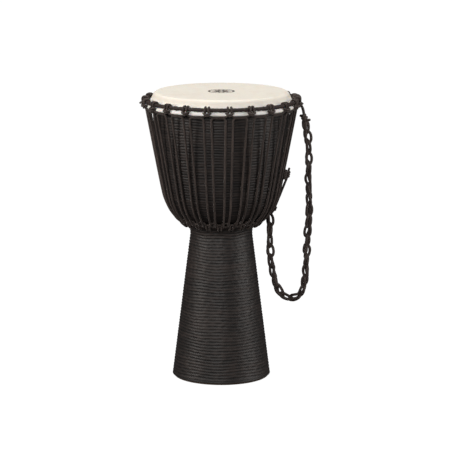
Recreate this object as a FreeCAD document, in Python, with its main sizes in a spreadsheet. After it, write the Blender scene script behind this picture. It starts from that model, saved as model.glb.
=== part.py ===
"""Rope-tuned goblet drum (djembe): carved shell, skin head, wrapped rings, ropes and strap.

Frame: +Z up, origin at the centre of the foot's flat underside, the player's side faces -Y
and the strap hangs on the +X side. Millimetres.
"""
import FreeCAD
import Part
import Sketcher
import math
import os
from FreeCAD import Vector

# name, value in mm (or degrees, or a plain count), what it is
SIZES = [
    ("foot_rise", 305.4, "floor to the waist, the narrowest place outside"),
    ("bowl_rise", 303.4, "waist to the bearing edge"),
    ("foot_radius", 104.3, "outer radius of the foot at the floor"),
    ("foot_round", 4.0, "rounding of the foot's outer bottom edge"),
    ("waist_radius", 66.3, "outer radius of the waist"),
    ("tuck_radius", 88.0, "outer radius where the bowl's underside turns up"),
    ("tuck_rise", 39.1, "waist to that place"),
    ("belly_radius", 107.8, "outer radius low on the belly"),
    ("belly_rise", 58.2, "waist to that place"),
    ("flank_radius", 121.4, "outer radius where the flank starts"),
    ("flank_rise", 93.6, "waist to that place"),
    ("rim_radius", 145.5, "outer radius of the bowl at its rim"),
    ("rim_drop", 18.8, "bearing edge down to the top of the flank"),
    ("edge_radius", 136.0, "radius of the bearing edge's crest"),
    ("edge_bow", 2.7, "rise of the bearing edge's rounding over its chord"),
    ("flank_bow", 4.5, "rise of the flank's arc over its chord"),
    ("belly_bow", 1.41, "rise of the belly's arc over its chord"),
    ("tuck_bow", 2.0, "rise of the underside's arc over its chord"),
    ("waist_bow", 6.73, "depth of the hollow arc from the underside to the waist"),
    ("bowl_wall", 15.0, "wall of the bowl, measured level"),
    ("bevel_drop", 11.0, "bearing edge down to the end of its inner bevel"),
    ("chamber_bow", 8.0, "rise of the chamber floor's arc over its chord"),
    ("throat_radius", 46.0, "radius of the throat"),
    ("throat_top", 23.6, "waist up to the chamber's outlet"),
    ("throat_low", 15.4, "waist down to where the foot's bore starts to open"),
    ("foot_wall", 14.3, "wall of the foot at the floor"),
    ("skin_thick", 1.0, "thickness of the skin"),
    ("skin_gap", 0.2, "skin to the bearing edge"),
    ("ridge_reach", 7.6, "bearing edge's crest out to the top of the skin's collar"),
    ("ridge_drop", 6.7, "playing face down to the same place"),
    ("ridge_bow", 1.4, "rise of the skin's rounding over its chord"),
    ("flesh_rod", 7.0, "diameter of the flesh ring's rod"),
    ("flesh_reach", 10.8, "rim radius out to the flesh ring's centreline"),
    ("flesh_drop", 25.8, "bearing edge down to the flesh ring's centreline"),
    ("fold_gap", 0.1, "flesh ring to the skin folded round it"),
    ("fold_radius", 3.6, "inner radius of the skin's fold"),
    ("crown_rod", 6.0, "diameter of the crown ring's rod"),
    ("crown_tape", 0.8, "thickness of the tape on the crown ring"),
    ("crown_reach", 14.7, "rim radius out to the crown ring's centreline"),
    ("crown_lift", 9.1, "flesh ring's centreline up to the crown ring's"),
    ("base_rod", 5.5, "diameter of the bottom ring's rod"),
    ("base_tape", 0.75, "thickness of the tape on the bottom ring"),
    ("base_rise", 31.3, "waist up to the place of the shell that the bottom ring bears on"),
    ("base_loop_rise", 40.6, "waist up to where the bottom loops lie on the bowl"),
    ("base_lace_rise", 36.6, "waist up to the lacing's runs through the bottom loops"),
    ("tape_gap", 0.05, "rod to tape"),
    ("seam_width", 0.6, "narrow opening where a tape's or the skin's edges meet"),
    ("rope_diameter", 4.5, "lacing rope and strap rope"),
    ("loop_diameter", 4.0, "cradle rope of both rings"),
    ("rope_gap", 0.25, "clearance of a rope to what it bears on"),
    ("loop_count", 22, "hitches on each ring"),
    ("first_knot", -84.02, "angle of the first crown hitch, degrees from +X"),
    ("lace_spread", 7.7, "hitch plane to each of the two verticals beside it, at the crown"),
    ("lace_foot", 4.8, "the same at the bottom ring"),
    ("hitch_spread", 3.5, "hitch plane to each of its legs, over the ring"),
    ("hitch_neck", 3.0, "the same below the ring"),
    ("lace_slope", 50.8, "way from the flesh ring down to the lacing's runs, degrees below level"),
    ("tie_rise", 128.5, "waist up to the lacing's tie-off knot"),
    ("strap_angle", 6.0, "angle of the strap's crown hitch, degrees from +X"),
    ("foot_knot_angle", 15.6, "angle of the strap's foot knot, degrees from +X"),
    ("foot_knot_reach", 117.5, "radius at which the strap's foot knot sits"),
    ("foot_knot_height", 354.0, "floor to the strap's foot knot"),
    ("stub_length", 11.0, "cut end that stands out of the tie-off knot"),
    ("stub_lean", 4.0, "how far that end leans outward"),
    ("chain_width", 15.0, "width of the strap's rope chain"),
]

doc = FreeCAD.newDocument("Djembe")
sheet = doc.addObject("Spreadsheet::Sheet", "Sizes")
for row, (alias, value, meaning) in enumerate(SIZES, start=1):
    sheet.set("A%d" % row, meaning)
    sheet.set("B%d" % row, str(value))
    sheet.setAlias("B%d" % row, alias)
doc.recompute()


def size(alias):
    """A driving size, read back from the sheet."""
    return float(sheet.get(alias))


def total(*terms):
    """Sum of named sizes (a leading minus takes one away) as (expression, value)."""
    expression = ""
    value = 0.0
    for term in terms:
        sign = "-" if term.startswith("-") else "+"
        name = term.lstrip("-")
        expression += " %s Sizes.%s" % (sign, name)
        value += -size(name) if sign == "-" else size(name)
    return expression.strip().lstrip("+").strip() or "0", value


# ---------------------------------------------------------------- sketches and bodies

def new_body(label):
    body = doc.addObject("PartDesign::Body", label)
    body.Label = label
    return body


def new_sketch(body, name):
    """Sketch on the body's own XZ plane: across is +X, up is +Z."""
    sketch = body.newObject("Sketcher::SketchObject", name)
    plane = [f for f in body.Origin.OriginFeatures if f.Role == "XZ_Plane"][0]
    sketch.AttachmentSupport = [(plane, "")]
    sketch.MapMode = "FlatFace"
    return sketch


def bow_middle(start, end, bow):
    """Middle of the arc from start to end that stands bow to the left of the chord."""
    chord = end - start
    left = Vector(-chord.y, chord.x, 0).normalize()
    return (start + end) * 0.5 + left * bow


def draw_outline(sketch, corners):
    """Closed outline of lines and arcs, every corner and bow bound to the sheet.

    Each corner is (across terms, up terms, bow): bow is None for a straight edge to the
    next corner, or a size's name, with a minus where the arc stands to the right.
    """
    places = [Vector(total(*across)[1], total(*up)[1], 0) for across, up, bow in corners]
    count = len(corners)
    ends = []
    for i, (across, up, bow) in enumerate(corners):
        start, end = places[i], places[(i + 1) % count]
        if bow is None:
            sketch.addGeometry(Part.LineSegment(start, end), False)
            ends.append((1, 2))
            continue
        rise = -size(bow[1:]) if bow.startswith("-") else size(bow)
        sketch.addGeometry(Part.Arc(start, bow_middle(start, end, rise), end), False)
        # a sketch keeps its arcs counter-clockwise, so one that stands to the left is turned
        ends.append((1, 2) if bow.startswith("-") else (2, 1))
    for i, (across, up, bow) in enumerate(corners):
        following = (i + 1) % count
        sketch.addConstraint(
            Sketcher.Constraint("Coincident", i, ends[i][1], following, ends[following][0]))
        beside = Sketcher.Constraint("DistanceX", -1, 1, i, ends[i][0], places[i].x)
        bind(sketch, beside, total(*across)[0])
        above = Sketcher.Constraint("DistanceY", -1, 1, i, ends[i][0], places[i].y)
        bind(sketch, above, total(*up)[0])
        if bow is None:
            continue
        next_across, next_up, next_bow = corners[following]
        wide = "(%s) - (%s)" % (total(*next_across)[0], total(*across)[0])
        high = "(%s) - (%s)" % (total(*next_up)[0], total(*up)[0])
        name = "Sizes." + bow.lstrip("-")
        rise = size(bow.lstrip("-"))
        radius = (places[following] - places[i]).Length ** 2 / (8 * rise) + rise / 2
        expression = "((%s)^2 + (%s)^2) / (8 * %s) + %s / 2" % (wide, high, name, name)
        bind(sketch, Sketcher.Constraint("Radius", i, radius), expression)


def bind(sketch, constraint, expression):
    """Add a constraint whose value follows the sheet."""
    index = sketch.addConstraint(constraint)
    sketch.setExpression("Constraints[%d]" % index, expression)


def turn(body, sketch, kind="PartDesign::Revolution", degrees=360):
    """Revolve a sketch about the drum's axis, to add or (Groove) to cut."""
    feature = body.newObject(kind, sketch.Name + "Turn")
    feature.Profile = sketch
    feature.ReferenceAxis = (sketch, ["V_Axis"])
    feature.Angle = degrees
    body.Tip = feature
    return feature


# ---------------------------------------------------------------- shell

# the outside from the bearing edge down to the waist, then the foot, the bores and the lip
SHELL_OUTSIDE = [
    (("edge_radius",), ("foot_rise", "bowl_rise"), "edge_bow"),
    (("rim_radius",), ("foot_rise", "bowl_rise", "-rim_drop"), "flank_bow"),
    (("flank_radius",), ("foot_rise", "flank_rise"), "belly_bow"),
    (("belly_radius",), ("foot_rise", "belly_rise"), "tuck_bow"),
    (("tuck_radius",), ("foot_rise", "tuck_rise"), "-waist_bow"),
    (("waist_radius",), ("foot_rise",), None),
]
FOOT_CORNERS = [
    (("foot_radius",), ("foot_round",), None),
    (("foot_radius", "-foot_round"), (), None),
    (("foot_radius", "-foot_wall"), (), None),
    (("throat_radius",), ("foot_rise", "-throat_low"), None),
]
CHAMBER_CORNERS = [
    (("throat_radius",), ("foot_rise", "throat_top"), "-chamber_bow"),
    (("flank_radius", "-bowl_wall"), ("foot_rise", "flank_rise"), "-flank_bow"),
    (("rim_radius", "-bowl_wall"), ("foot_rise", "bowl_rise", "-bevel_drop"), None),
]


def make_shell():
    """One carved piece of wood: bowl, waist and foot, open right through."""
    body = new_body("shell")
    sketch = new_sketch(body, "ShellOutline")
    draw_outline(sketch, SHELL_OUTSIDE + FOOT_CORNERS + CHAMBER_CORNERS)
    turn(body, sketch)
    return body


def shell_beside(height, gap):
    """Place (radius, height) that stands gap off the shell's outside at that height."""
    corners = [Vector(total(*across)[1], total(*up)[1], 0) for across, up, bow in SHELL_OUTSIDE]
    for i in range(len(corners) - 1):
        if not corners[i + 1].y <= height <= corners[i].y:
            continue
        bow = SHELL_OUTSIDE[i][2]
        hollow = bow.startswith("-")
        rise = size(bow.lstrip("-"))
        middle = bow_middle(corners[i], corners[i + 1], -rise if hollow else rise)
        radius = (corners[i + 1] - corners[i]).Length ** 2 / (8 * rise) + rise / 2
        chord_middle = (corners[i] + corners[i + 1]) * 0.5
        centre = middle + (chord_middle - middle).normalize() * radius
        side = math.sqrt(radius ** 2 - (height - centre.y) ** 2)
        surface = Vector(centre.x - side if hollow else centre.x + side, height, 0)
        outward = (centre - surface if hollow else surface - centre).normalize()
        return surface.x + gap * outward.x, surface.y + gap * outward.y
    raise ValueError("no outside of the bowl at height %.1f" % height)


# ---------------------------------------------------------------- rings and skin

CREST = ("foot_rise", "bowl_rise")
FLESH_RADIUS = ("rim_radius", "flesh_reach")
FLESH_HEIGHT = CREST + ("-flesh_drop",)
CROWN_RADIUS = ("rim_radius", "crown_reach")
CROWN_HEIGHT = FLESH_HEIGHT + ("crown_lift",)


def make_rod_ring(label, ring_radius, ring_height, rod):
    """Round steel rod bent and welded to a ring; radius and height are (expression, value)."""
    ring = doc.addObject("Part::Torus", label)
    ring.Label = label
    ring.setExpression("Radius1", ring_radius[0])
    ring.setExpression("Radius2", "Sizes.%s / 2" % rod)
    ring.setExpression("Placement.Base.z", ring_height[0])
    return ring


def add_sleeve(body, ring_radius, ring_height, rod, gap, thick):
    """Tube round a ring's rod, revolved from two circles bound to the sheet."""
    sketch = new_sketch(body, body.Label + "_section")
    inner = "Sizes.%s / 2 + Sizes.%s" % (rod, gap)
    radii = [(inner + " + Sizes." + thick, size(rod) / 2 + size(gap) + size(thick)),
             (inner, size(rod) / 2 + size(gap))]
    centre = Vector(ring_radius[1], ring_height[1], 0)
    for i, (expression, value) in enumerate(radii):
        sketch.addGeometry(Part.Circle(centre, Vector(0, 0, 1), value), False)
        bind(sketch, Sketcher.Constraint("Radius", i, value), expression)
        bind(sketch, Sketcher.Constraint("DistanceX", -1, 1, i, 3, centre.x), ring_radius[0])
        bind(sketch, Sketcher.Constraint("DistanceY", -1, 1, i, 3, centre.y), ring_height[0])
    return turn(body, sketch)


def cut_seam(body, name, corners):
    """Groove of a straight-sided outline: the narrow opening where a wrapping's edges meet."""
    doc.recompute()
    sketch = new_sketch(body, name)
    draw_outline(sketch, [(across, up, None) for across, up in corners])
    turn(body, sketch, "PartDesign::Groove")


def make_tape(label, ring_radius, ring_height, rod, thick):
    """Cloth tape wound on a ring, its edges meeting in a narrow seam on the inner side."""
    body = new_body(label)
    add_sleeve(body, total(*ring_radius), total(*ring_height), rod, "tape_gap", thick)
    inside = ring_radius + ("-" + rod,)
    above = ring_height + ("seam_width",)
    cut_seam(body, label + "_seam", [
        (inside, ring_height), (ring_radius, ring_height), (ring_radius, above), (inside, above)])
    return body


def make_head():
    """Skin: flat playing face, rounded over the edge, sloping collar, fold round the flesh ring."""
    body = new_body("drum_head")
    under = CREST + ("skin_gap",)
    top = under + ("skin_thick",)
    ridge = ("edge_radius", "ridge_reach")
    sketch = new_sketch(body, "SkinSection")
    draw_outline(sketch, [
        ((), top, None),
        (("edge_radius",), top, "ridge_bow"),
        (ridge, top + ("-ridge_drop",), None),
        (FLESH_RADIUS + ("-fold_radius",), FLESH_HEIGHT, None),
        (FLESH_RADIUS + ("-fold_radius", "-skin_thick"), FLESH_HEIGHT, None),
        (ridge + ("-skin_thick",), under + ("-ridge_drop", "skin_thick"), "-ridge_bow"),
        (("edge_radius",), under, None),
        ((), under, None),
    ])
    turn(body, sketch)
    doc.recompute()
    add_sleeve(body, total(*FLESH_RADIUS), total(*FLESH_HEIGHT), "flesh_rod", "fold_gap", "skin_thick")
    outside = FLESH_RADIUS + ("seam_width",)
    above = FLESH_HEIGHT + ("flesh_rod",)
    cut_seam(body, "SkinEdge", [
        (FLESH_RADIUS, FLESH_HEIGHT), (outside, FLESH_HEIGHT), (outside, above), (FLESH_RADIUS, above)])
    return body


# ---------------------------------------------------------------- ropes

def at(angle, radius, height):
    """Point from an angle in degrees round the drum, a radius and a height."""
    way = math.radians(angle)
    return Vector(radius * math.cos(way), radius * math.sin(way), height)


def spread(distance, radius):
    """Degrees round the drum that a distance across takes up at a radius."""
    return math.degrees(distance / radius)


# share of the shorter run that a bend may take, and the reach of a cradle rope's or hitch's bends
BEND_SHARE = 0.45
LOOP_BEND = 0.7
HITCH_BEND = 0.62
STRAIGHT = 1e-3


def rope_path(points, reach=None, report=None):
    """Straight runs joined by tangent arcs; reach limits how far an arc takes from its runs."""
    edges = []
    radii = []
    here = points[0]
    for i in range(1, len(points) - 1):
        back = points[i - 1] - points[i]
        ahead = points[i + 1] - points[i]
        shorter = BEND_SHARE * min(back.Length, ahead.Length)
        back.normalize()
        ahead.normalize()
        turned = math.pi - back.getAngle(ahead)
        if turned < STRAIGHT:
            continue
        taken = min(shorter, reach) if reach else shorter
        radius = taken / math.tan(turned / 2)
        first = points[i] + back * taken
        last = points[i] + ahead * taken
        inward = (back + ahead).normalize()
        middle = points[i] + inward * (radius / math.cos(turned / 2) - radius)
        edges.append(Part.LineSegment(here, first).toShape())
        edges.append(Part.Arc(first, middle, last).toShape())
        radii.append(radius)
        here = last
    edges.append(Part.LineSegment(here, points[-1]).toShape())
    if report:
        print(report, "bend radii", [round(radius, 1) for radius in radii])
    return Part.Wire(edges)


NEARLY = 1e-6
VOLUME_ERROR = 0.02


def sweep_rope(path, diameter):
    """Tube along a path, its volume compared with section times length."""
    first = path.OrderedEdges[0]
    start = first.valueAt(first.FirstParameter)
    way = first.tangentAt(first.FirstParameter)
    if (start - path.OrderedVertexes[0].Point).Length > NEARLY:
        raise ValueError("path starts at its far end")
    circle = Part.Wire([Part.makeCircle(diameter / 2, start, way)])
    tube = path.makePipeShell([circle], True, False)
    expected = math.pi * diameter ** 2 / 4 * path.Length
    if abs(tube.Volume / expected - 1) > VOLUME_ERROR:
        raise ValueError("rope volume %.0f, expected %.0f mm3" % (tube.Volume, expected))
    return tube


def add_shape(label, shape):
    feature = doc.addObject("Part::Feature", label)
    feature.Label = label
    feature.Shape = shape
    return feature


def round_rope(label, half, first_angle, diameter, reach):
    """One endless rope round the drum from its half bay, mirrored and repeated.

    half lists (angle from the hitch plane, radius, height) from the hitch to mid bay.
    """
    count = int(size("loop_count"))
    bay = 360.0 / count
    start_angle, start_radius, start_height = half[0]
    flat = start_radius * math.cos(math.radians(start_angle))
    places = [(0, flat, start_height)] + half
    places += [(bay - angle, radius, height) for angle, radius, height in reversed(half[:-1])]
    places.append((bay, flat, start_height))
    points = [at(first_angle + angle, radius, height) for angle, radius, height in places]
    path = rope_path(points, reach)
    tube = sweep_rope(path, diameter)
    walls = [face for face in tube.Faces if not isinstance(face.Surface, Part.Plane)]
    faces = []
    for i in range(count):
        for wall in walls:
            copy = wall.copy()
            copy.rotate(Vector(0, 0, 0), Vector(0, 0, 1), i * bay)
            faces.append(copy)
    shell = Part.makeShell(faces)
    shell.sewShape()
    solid = Part.makeSolid(shell)
    if solid.Volume < 0:
        solid.reverse()
    return add_shape(label, solid)


def flesh_outside():
    """Radius of the skin folded round the flesh ring."""
    return size("fold_radius") + size("skin_thick")


def lace_top():
    """Radius and height of the lacing's runs through the crown loops, under the fold."""
    away = flesh_outside() + size("rope_diameter") / 2 + 3 * size("rope_gap")
    slope = math.radians(size("lace_slope"))
    return (total(*FLESH_RADIUS)[1] + away * math.cos(slope),
            total(*FLESH_HEIGHT)[1] - away * math.sin(slope))


def hook_reach(rod, tape, diameter):
    """Ring's centreline to the centreline of a rope that hooks round its tape."""
    return size(rod) / 2 + size("tape_gap") + size(tape) + size("rope_gap") + diameter / 2


def crown_half_bay():
    """Cradle rope at the crown: bar behind the ring, over it, down in front, loop below."""
    rope = size("loop_diameter")
    radius, height = total(*CROWN_RADIUS)[1], total(*CROWN_HEIGHT)[1]
    reach = hook_reach("crown_rod", "crown_tape", rope)
    flesh_radius, flesh_height = total(*FLESH_RADIUS)[1], total(*FLESH_HEIGHT)[1]
    front = flesh_radius + flesh_outside() + rope / 2 + size("rope_gap")
    lace_radius, lace_height = lace_top()
    run_radius = lace_radius - (rope + size("rope_diameter")) / 2 - rope / 4 - size("rope_gap")
    run_height = lace_height - rope
    wide = spread(size("hitch_spread"), radius)
    neck = spread(size("hitch_neck"), radius)
    half_bay = 180.0 / size("loop_count")
    return [
        (wide, radius - reach, height - rope / 2),
        (wide, radius - reach, height + reach),
        (wide, radius + reach, height + reach),
        (wide, radius + reach, height - reach / 2),
        (neck, front, flesh_height + rope / 4),
        (neck, front, lace_height + rope / 2),
        (neck, (front + run_radius) / 2, run_height + rope / 4),
        (2 * neck, run_radius, run_height),
        (half_bay, run_radius, run_height),
    ]


def base_ring_place():
    """Radius and height of the bottom ring, and its way out from and up along the shell."""
    height = size("foot_rise") + size("base_rise")
    away = size("base_rod") / 2 + size("tape_gap") + size("base_tape") + size("rope_gap")
    foot = Vector(*shell_beside(height, 0), 0)
    centre = Vector(*shell_beside(height, away), 0)
    outward = (centre - foot).normalize()
    return centre, outward, Vector(-outward.y, outward.x, 0)


def base_half_bay():
    """Cradle rope at the bottom: bar under the ring, up in front, loop lying on the bowl."""
    rope = size("loop_diameter")
    centre, outward, upward = base_ring_place()
    reach = hook_reach("base_rod", "base_tape", rope)
    low = centre - upward * reach + outward * size("rope_gap")
    corner = centre - upward * reach + outward * reach
    front = centre + upward * reach / 2 + outward * reach
    run_radius, run_height = shell_beside(
        size("foot_rise") + size("base_loop_rise"), rope / 2 + size("rope_gap"))
    neck = spread(size("hitch_neck"), centre.x)
    half_bay = 180.0 / size("loop_count")
    return [
        (neck, low.x, low.y),
        (neck, corner.x, corner.y),
        (neck, front.x, front.y),
        (neck, run_radius, run_height),
        (half_bay, run_radius, run_height),
    ]


def lacing_half_bay():
    """Lacing from mid bottom loop up the bowl to mid crown loop."""
    rope = size("rope_diameter")
    gap = size("rope_gap")
    on_shell = rope / 2 + 2 * gap
    over_loop = rope / 2 + size("loop_diameter") + 2 * gap
    low_height = size("foot_rise") + size("base_lace_rise")
    loop_height = size("foot_rise") + size("base_loop_rise")
    low = shell_beside(low_height, over_loop)
    over = shell_beside(loop_height, over_loop + gap)
    top_radius, top_height = lace_top()
    start = spread(size("lace_foot"), low[0])
    end = spread(size("lace_spread"), top_radius)
    half_bay = 180.0 / size("loop_count")
    waist, belly, flank = size("foot_rise"), size("belly_rise"), size("flank_rise")
    tuck = size("base_loop_rise")
    rises = ((tuck + belly) / 2, belly, (belly + flank) / 2, flank)
    bowl = [(start,) + shell_beside(waist + rise, on_shell + 2 * gap) for rise in rises]
    return [(start,) + low, (start,) + over] + bowl + [
        (end, top_radius, top_height),
        (half_bay, top_radius, top_height),
    ]


# ---------------------------------------------------------------- knots and strap

# pulled-tight knots, in rope diameters: radius of the turns and step from turn to turn
COIL_RADIUS = 0.95
COIL_PITCH = 0.95
SMALL_COIL_RADIUS = 0.85
LONG_KNOT_TURNS = 3
SHORT_KNOT_TURNS = 2


def coil(centre, way, turn_radius, diameter, turns):
    """Close turns of rope round a core of the same rope: the body of a pulled-tight knot."""
    pitch = diameter * COIL_PITCH
    low = centre - way * (pitch * (turns - 1) / 2)
    rings = [Part.makeTorus(turn_radius, diameter / 2, low + way * (pitch * i), way) for i in range(turns)]
    length = pitch * (turns - 1) + diameter
    core = Part.makeCylinder(turn_radius, length, centre - way * (length / 2), way)
    return core.multiFuse(rings)


def stub(start, end, diameter):
    """Cut end of a rope with a sealed round tip."""
    way = end - start
    return Part.makeCylinder(diameter / 2, way.Length, start, way).fuse(Part.makeSphere(diameter / 2, end))


def knot_angle(index):
    return size("first_knot") + index * 360.0 / size("loop_count")


# route of the strap, chosen by hand: the single rope from its hitch to the knot
LEAD_ROUTE = [
    Vector(166.4, 17.5, 580.0),
    Vector(170.6, 15.4, 574.0),
    Vector(173.0, 14.4, 566.5),
    Vector(174.6, 13.7, 555.5),
]
# and the chain from the knot round the low bend and up to its foot knot
CHAIN_ROUTE = [
    Vector(177.0, 12.8, 546.5),
    Vector(182.0, 11.0, 512.0),
    Vector(185.2, 10.0, 460.0),
    Vector(184.6, 10.4, 404.0),
    Vector(187.4, 9.4, 352.0),
    Vector(183.4, 11.0, 296.0),
    Vector(181.0, 12.0, 252.0),
    Vector(179.8, 11.4, 216.0),
    Vector(176.3, 12.7, 186.0),
    Vector(168.5, 15.7, 168.5),
    Vector(153.5, 21.4, 159.0),
    Vector(136.5, 27.8, 160.5),
    Vector(123.5, 32.8, 172.0),
    Vector(115.2, 35.9, 193.0),
    Vector(108.5, 38.5, 222.0),
    Vector(103.6, 40.3, 256.0),
    Vector(103.2, 40.5, 299.0),
    Vector(104.6, 40.4, 341.0),
]
STRAP_KNOT = Vector(174.9, 13.6, 552.0)
STRAP_KNOT_WAY = Vector(0.55, -0.15, -0.82)
# the cut ends that stand out of the strap's knot, from its centre
STRAP_KNOT_STUBS = (Vector(-7.2, 1.5, 3.6), Vector(10.6, -2.4, -4.6))
# the foot knot lies along the bowl: its way out and up
FOOT_KNOT_LEAN = (0.4, 0.92)
HITCH_CLOSENESS = 0.75
# the lacing's end is tied off beside this hitch, counted from the first, on its right vertical
TIE_OFF_HITCH = 5
TIE_OFF_SHARE = 0.8


def foot_knot():
    """Centre of the strap's foot knot."""
    return at(size("foot_knot_angle"), size("foot_knot_reach"), size("foot_knot_height"))


def make_strap():
    """Crown hitch and foot knot on the drum; lead, knot and chain that swing together."""
    rope = size("rope_diameter")
    radius, height = total(*CROWN_RADIUS)[1], total(*CROWN_HEIGHT)[1]
    reach = hook_reach("crown_rod", "crown_tape", rope)
    wide = spread(size("hitch_spread") * HITCH_CLOSENESS, radius)
    angle = size("strap_angle")
    half = [
        (radius - reach, height - rope / 2),
        (radius - reach, height + reach),
        (radius + reach, height + reach),
        (radius + reach, height - reach),
    ]
    sides = [at(angle + wide, *place) for place in half]
    sides += [at(angle - wide, *place) for place in reversed(half)]
    closing = (sides[0] + sides[-1]) * 0.5
    path = rope_path([closing] + sides + [closing], rope * HITCH_BEND)
    tube = sweep_rope(path, rope)
    walls = [face for face in tube.Faces if not isinstance(face.Surface, Part.Plane)]
    shell = Part.makeShell(walls)
    shell.sewShape()
    add_shape("strap_hitch", Part.makeSolid(shell))
    foot_way = at(size("foot_knot_angle"), *FOOT_KNOT_LEAN).normalize()
    foot = coil(foot_knot(), foot_way, rope * COIL_RADIUS, rope, LONG_KNOT_TURNS)
    add_shape("strap_foot_knot", foot)
    lead = sweep_rope(rope_path(LEAD_ROUTE, report="strap_lead"), rope)
    add_shape("strap_lead", lead)
    knot_way = Vector(STRAP_KNOT_WAY).normalize()
    knot = coil(STRAP_KNOT, knot_way, rope * SMALL_COIL_RADIUS, rope, SHORT_KNOT_TURNS)
    for end in STRAP_KNOT_STUBS:
        knot = knot.fuse(stub(STRAP_KNOT, STRAP_KNOT + end, rope))
    add_shape("strap_knot", knot.removeSplitter())
    chain = sweep_rope(rope_path(CHAIN_ROUTE, report="strap_chain"), size("chain_width"))
    add_shape("strap_chain", chain)


def make_tie_off():
    """Knot at the lacing's end on the verticals by the strap, and its tail to the foot knot."""
    rope = size("rope_diameter")
    away = rope / 2 + rope * (COIL_RADIUS + 0.5)
    height = size("foot_rise") + size("tie_rise")
    low_radius, low_height = shell_beside(size("foot_rise") + size("flank_rise"), rope)
    top_radius, top_height = lace_top()
    share = (height - low_height) / (top_height - low_height)
    along = Vector(top_radius - low_radius, 0, top_height - low_height).normalize()
    radius = low_radius + share * (top_radius - low_radius) + away
    angle = knot_angle(TIE_OFF_HITCH) + spread(size("lace_spread") * TIE_OFF_SHARE, radius)
    centre = at(angle, radius, height)
    way = at(angle, along.x, along.z)
    knot = coil(centre, way, rope * COIL_RADIUS, rope, LONG_KNOT_TURNS)
    end = centre + way * size("stub_length") + at(angle, size("stub_lean"), 0)
    knot = knot.fuse(stub(centre, end, rope))
    add_shape("tie_off_knot", knot.removeSplitter())
    add_shape("pull_rope", sweep_rope(rope_path([centre - way * rope, foot_knot()]), rope))


# ---------------------------------------------------------------- the whole drum

make_shell()
make_head()
make_rod_ring("flesh_ring", total(*FLESH_RADIUS), total(*FLESH_HEIGHT), "flesh_rod")
make_rod_ring("crown_ring", total(*CROWN_RADIUS), total(*CROWN_HEIGHT), "crown_rod")
make_tape("crown_ring_tape", CROWN_RADIUS, CROWN_HEIGHT, "crown_rod", "crown_tape")
base_centre = base_ring_place()[0]
sheet.set("B%d" % (len(SIZES) + 1), str(base_centre.x))
sheet.setAlias("B%d" % (len(SIZES) + 1), "base_radius")
sheet.set("B%d" % (len(SIZES) + 2), str(base_centre.y))
sheet.setAlias("B%d" % (len(SIZES) + 2), "base_height")
doc.recompute()
make_rod_ring("bottom_ring", total("base_radius"), total("base_height"), "base_rod")
make_tape("bottom_ring_tape", ("base_radius",), ("base_height",), "base_rod", "base_tape")
loop_rope = size("loop_diameter")
round_rope("crown_loops", crown_half_bay(), knot_angle(0), loop_rope, loop_rope * LOOP_BEND)
round_rope("bottom_loops", base_half_bay(), knot_angle(0.5), loop_rope, loop_rope * LOOP_BEND)
round_rope("lacing", lacing_half_bay(), knot_angle(0), size("rope_diameter"), None)
make_strap()
make_tie_off()
doc.recompute()

os.makedirs("parts", exist_ok=True)
pieces = [item for item in doc.RootObjects if hasattr(item, "Shape")]
for item in doc.Objects:
    if "Invalid" in item.State or "Error" in item.State:
        raise RuntimeError("%s failed: %s" % (item.Label, item.State))
for piece in pieces:
    if piece.Shape.isNull() or not piece.Shape.isValid() or not piece.Shape.Solids:
        raise RuntimeError("%s has no valid solid" % piece.Label)
for piece in pieces:
    piece.Shape.exportStep("parts/%s.step" % piece.Label)
    print(piece.Label, len(piece.Shape.Solids), "solid", round(piece.Shape.Volume), "mm3")
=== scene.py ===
"""Looks of a rope-tuned goblet drum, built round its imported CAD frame. Metres, +Z up."""
import math

import bmesh
import bpy
import numpy as np
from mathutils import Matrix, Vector
from mathutils.bvhtree import BVHTree


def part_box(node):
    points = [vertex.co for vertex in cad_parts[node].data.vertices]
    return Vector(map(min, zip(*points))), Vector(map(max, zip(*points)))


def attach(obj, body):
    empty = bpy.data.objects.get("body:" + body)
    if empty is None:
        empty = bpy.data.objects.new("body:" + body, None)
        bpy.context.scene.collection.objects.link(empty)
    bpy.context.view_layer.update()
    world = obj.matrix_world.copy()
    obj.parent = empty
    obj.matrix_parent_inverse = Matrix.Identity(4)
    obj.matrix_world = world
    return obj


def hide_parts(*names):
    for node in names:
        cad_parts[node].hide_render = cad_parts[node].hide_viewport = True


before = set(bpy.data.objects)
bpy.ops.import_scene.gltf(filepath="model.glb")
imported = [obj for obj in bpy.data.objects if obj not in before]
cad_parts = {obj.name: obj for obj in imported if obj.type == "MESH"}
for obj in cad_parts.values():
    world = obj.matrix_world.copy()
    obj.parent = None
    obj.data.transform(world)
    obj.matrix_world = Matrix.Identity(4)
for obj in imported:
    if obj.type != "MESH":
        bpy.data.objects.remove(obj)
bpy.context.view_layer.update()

bl_info = {
    "name": "Goblet drum",
    "version": (1, 0, 0),
    "blender": (4, 5, 0),
    "location": "3D View > Sidebar > Drum",
    "description": "Carved shell, skin, wound rings, ropes and strap of a goblet drum",
    "category": "Add Mesh",
}

# lacing bays, and the angle in degrees of the first crown hitch
BAYS = 22
BAY = 360.0 / BAYS
FIRST_HITCH = -84.02
# rope diameters, and the clearance between a rope and what it lies on
ROPE = 0.0045
STRAP_ROPE = 0.0060
LOOP_ROPE = 0.004
GAP = 0.00025
# waves of the braid for each rope diameter along it
BRAID_SLANT = 1.5


# ---------------- what a user would change

def length(name, description, default):
    return bpy.props.FloatProperty(
        name=name, description=description, default=default, unit="LENGTH")


def colour(name, description, default):
    return bpy.props.FloatVectorProperty(
        name=name, description=description, default=default, subtype="COLOR")


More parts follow.
